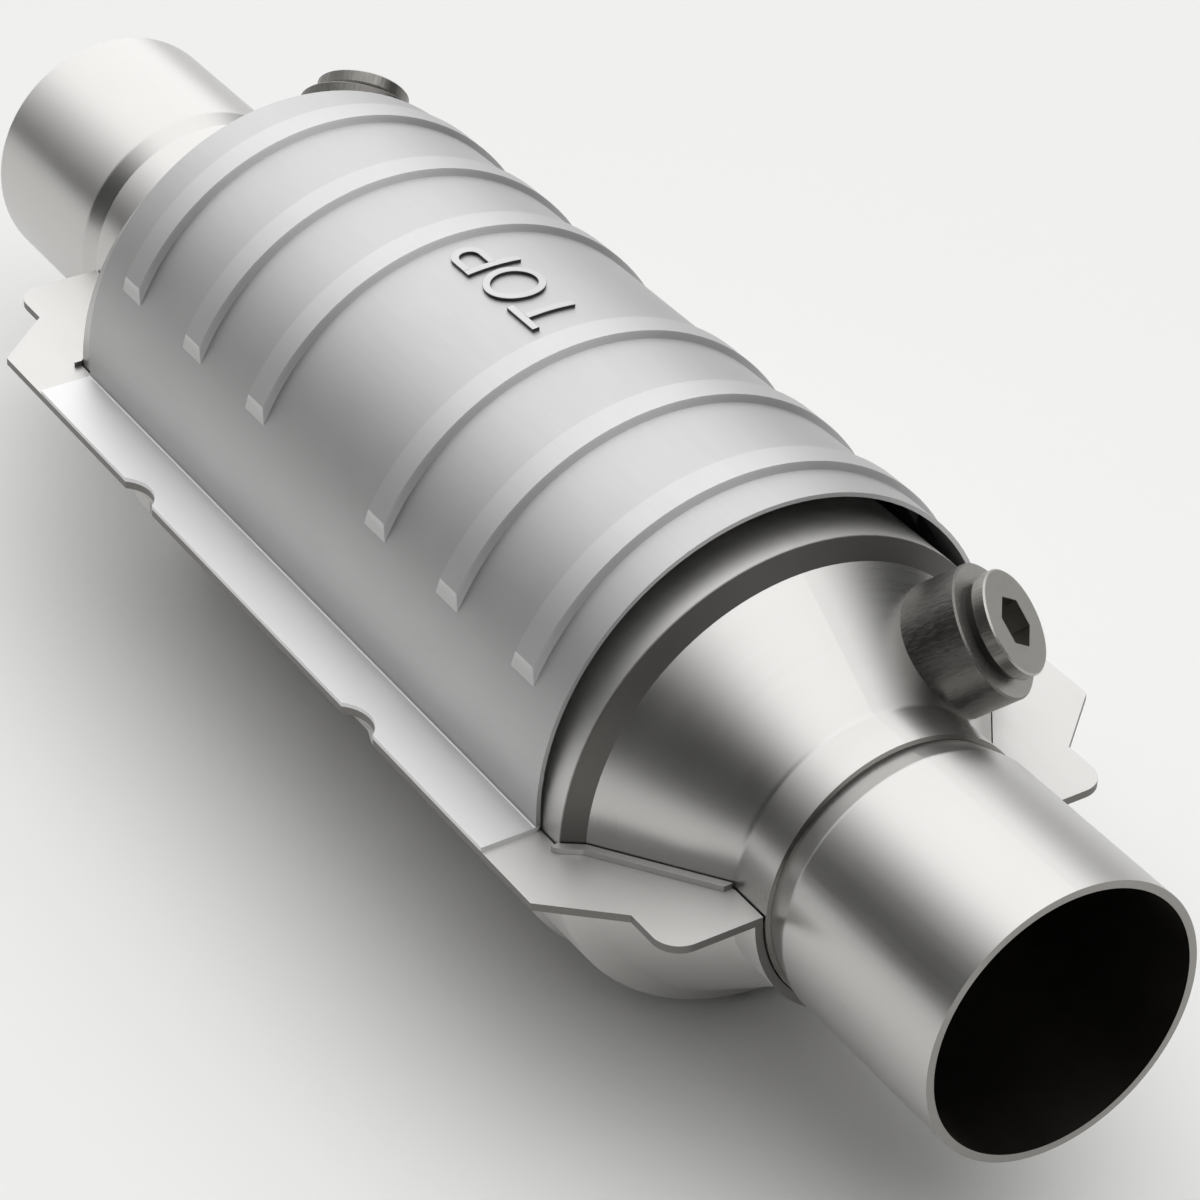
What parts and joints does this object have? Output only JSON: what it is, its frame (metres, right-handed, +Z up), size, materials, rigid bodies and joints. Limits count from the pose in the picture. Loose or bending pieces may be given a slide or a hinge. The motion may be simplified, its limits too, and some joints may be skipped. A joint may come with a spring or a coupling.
{
  "type": "catalytic converter",
  "caption": "Round catalytic converter with a ribbed heat shield pressed in halves, cones, straight pipe ends and plugged sensor bosses.",
  "frame": {"origin": "centre of the open end of the inlet pipe", "axes": "+X along the gas flow towards the outlet, +Z up through the side marked as the top, +Y towards the sensor bosses"},
  "size_m": [0.4028, 0.136, 0.1192],
  "materials": {
    "shield_steel": "satin pressed steel sheet",
    "stainless_steel": "semi-bright drawn stainless steel",
    "machined_steel": "turned and forged mid-grey steel",
    "washer_steel": "dark soft steel ring",
    "honeycomb_ceramic": "matt washcoated ceramic with fine square cells",
    "fibre_mat": "pale ceramic fibre mat",
    "knitted_wire": "compressed knitted wire"
  },
  "bodies": {
    "root": {"upper_heat_shield": "shield_steel", "lower_heat_shield": "shield_steel", "converter_can": "stainless_steel", "inlet_cone": "stainless_steel", "outlet_cone": "stainless_steel", "inlet_pipe": "stainless_steel", "outlet_pipe": "stainless_steel", "inlet_sensor_boss": "machined_steel", "outlet_sensor_boss": "machined_steel", "inlet_sensor_plug": "machined_steel", "outlet_sensor_plug": "machined_steel", "inlet_plug_washer": "washer_steel", "outlet_plug_washer": "washer_steel", "front_catalyst_brick": "honeycomb_ceramic", "rear_catalyst_brick": "honeycomb_ceramic", "front_support_mat": "fibre_mat", "rear_support_mat": "fibre_mat", "front_mat_seal_inlet_side": "knitted_wire", "front_mat_seal_outlet_side": "knitted_wire", "rear_mat_seal_inlet_side": "knitted_wire", "rear_mat_seal_outlet_side": "knitted_wire"}
  },
  "joints": []
}
